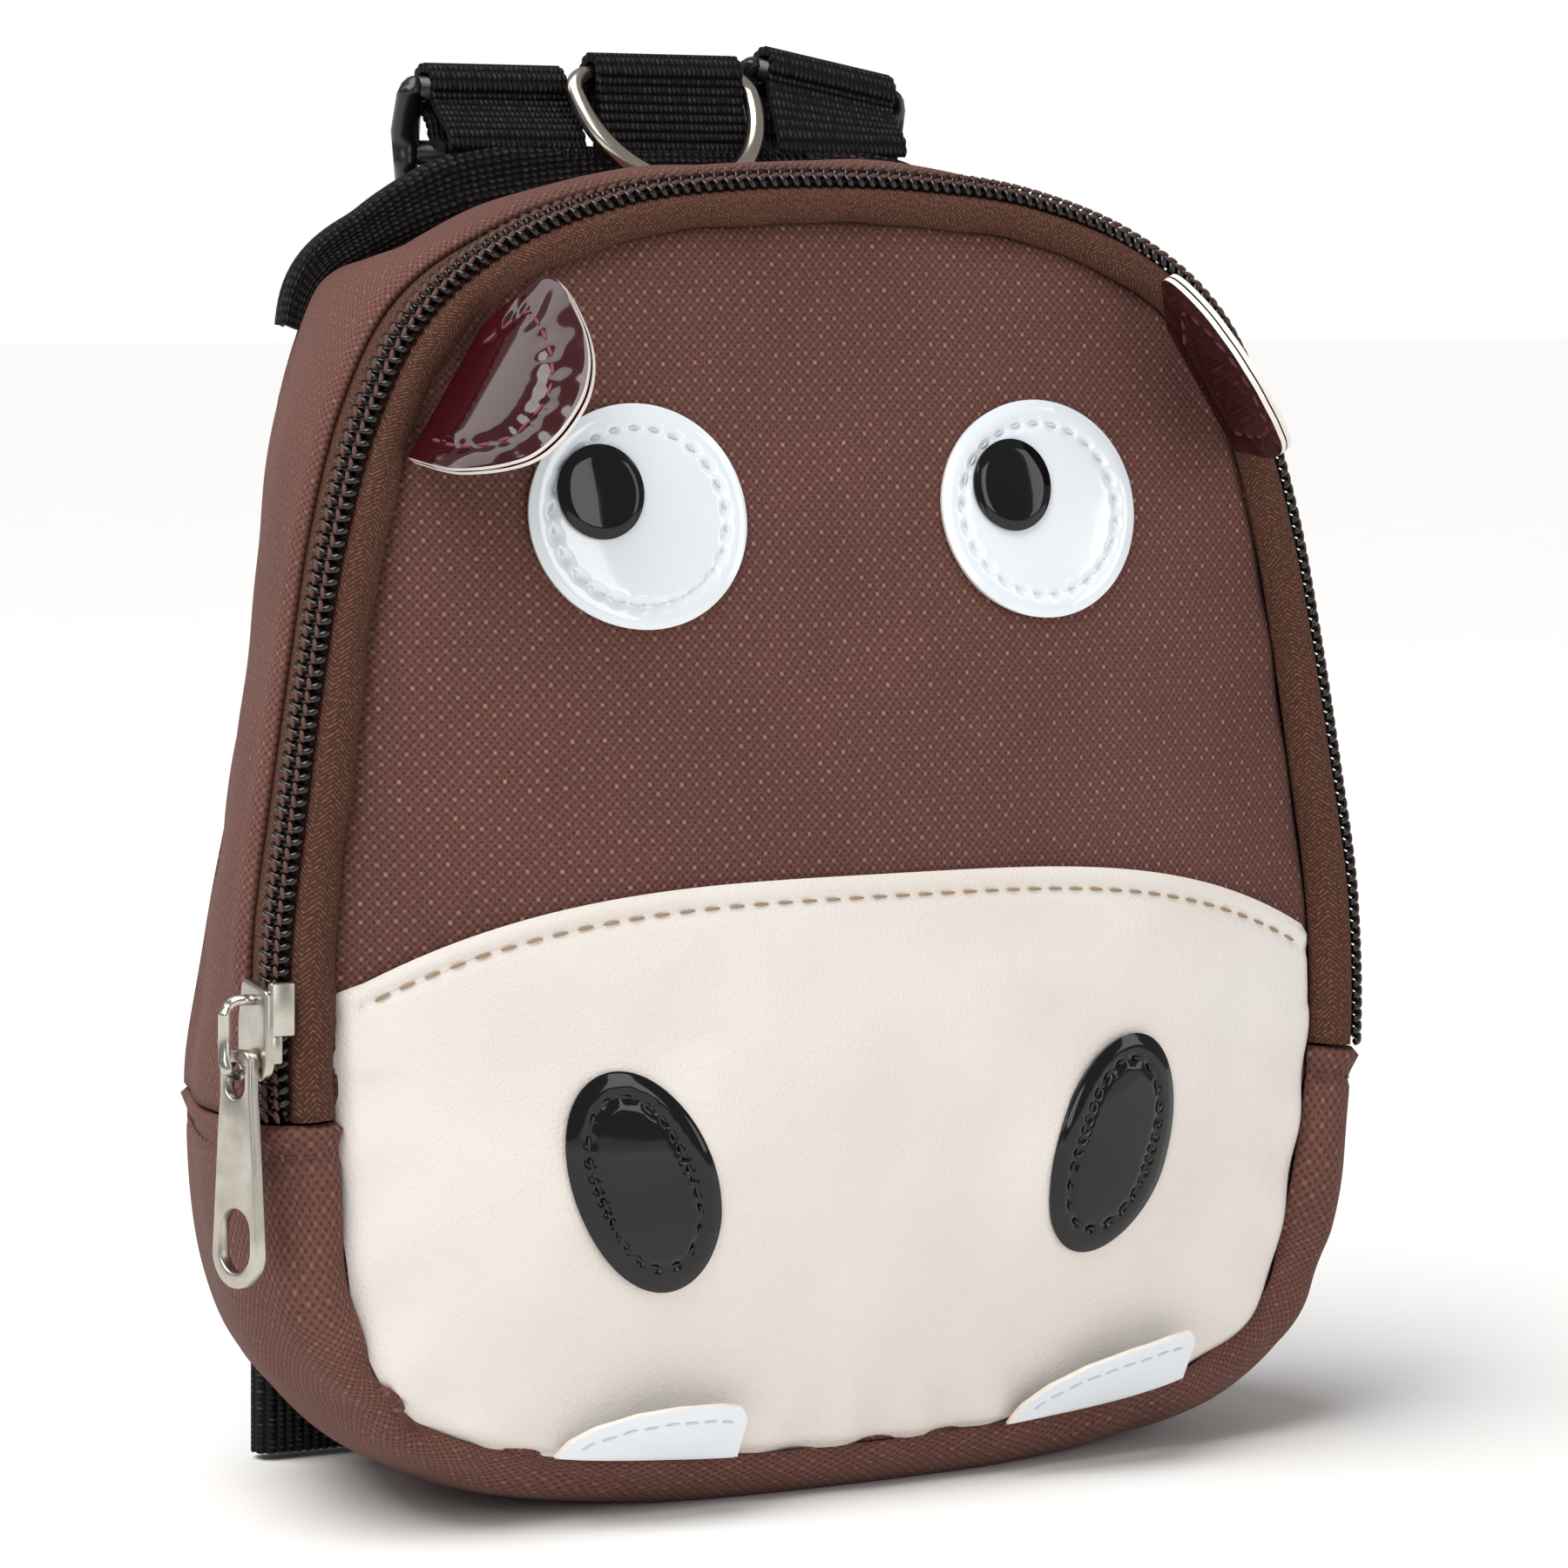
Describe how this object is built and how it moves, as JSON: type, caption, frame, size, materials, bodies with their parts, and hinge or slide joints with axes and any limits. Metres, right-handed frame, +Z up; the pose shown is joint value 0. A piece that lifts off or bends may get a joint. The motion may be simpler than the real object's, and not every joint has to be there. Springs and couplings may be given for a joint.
{
  "type": "toddler harness backpack",
  "caption": "Small soft zip backpack for a toddler with an animal face in front, webbing loops and a steel ring at the top, and slim webbing shoulder straps behind.",
  "frame": {"origin": "middle of the flat base, on the surface the bag stands on", "axes": "+X to the right of the face as the picture shows it, +Y from the face to the back, +Z up"},
  "size_m": [0.1719, 0.1025, 0.1897],
  "materials": {
    "brown_cloth": "coarse plain woven polyester with light flecks",
    "brown_twill_tape": "twill zip tape",
    "dark_nylon_coil": "glossy dark nylon coil",
    "cream_leathercloth": "smooth satin leathercloth",
    "white_patent": "glossy white patent",
    "black_patent": "glossy black patent",
    "maroon_patent": "glossy maroon patent with a pale cut edge",
    "black_webbing": "ribbed polyester webbing",
    "black_plastic": "moulded acetal",
    "nickel": "polished nickel plate"
  },
  "bodies": {
    "bag": {"front_panel": "brown_cloth", "gusset_upper": "brown_cloth", "gusset_lower": "brown_cloth", "back_panel": "brown_cloth", "muzzle": "cream_leathercloth", "eye_white_left": "white_patent", "eye_white_right": "white_patent", "tooth_left": "white_patent", "tooth_right": "white_patent", "pupil_left": "black_patent", "pupil_right": "black_patent", "nostril_left": "black_patent", "nostril_right": "black_patent", "ear_left": "maroon_patent", "ear_right": "maroon_patent", "zip_tape_front": "brown_twill_tape", "zip_tape_rear": "brown_twill_tape", "zip_chain": "dark_nylon_coil", "zip_slider": "nickel", "top_band": "black_webbing", "loop_centre": "black_webbing", "strap_loop_left": "black_webbing", "strap_loop_right": "black_webbing", "shoulder_strap_left": "black_webbing", "shoulder_strap_right": "black_webbing", "lower_tab_left": "black_webbing", "lower_tab_right": "black_webbing", "ladder_lock_left": "black_plastic", "ladder_lock_right": "black_plastic"},
    "zip_pull": {"zip_pull": "nickel"},
    "d_ring": {"d_ring": "nickel"}
  },
  "joints": [
    {"name": "zip_pull_hinge", "type": "hinge", "parent": "bag", "child": "zip_pull", "pos_m": [-0.08582, -0.02348, 0.06308], "axis": [-0.2548, 0.966, -0.0448], "range_deg": [0, 130]},
    {"name": "d_ring_hinge", "type": "hinge", "parent": "bag", "child": "d_ring", "pos_m": [-0.00185, 0.026, 0.1852], "axis": [-1, 0, 0], "range_deg": [0, 140]}
  ]
}
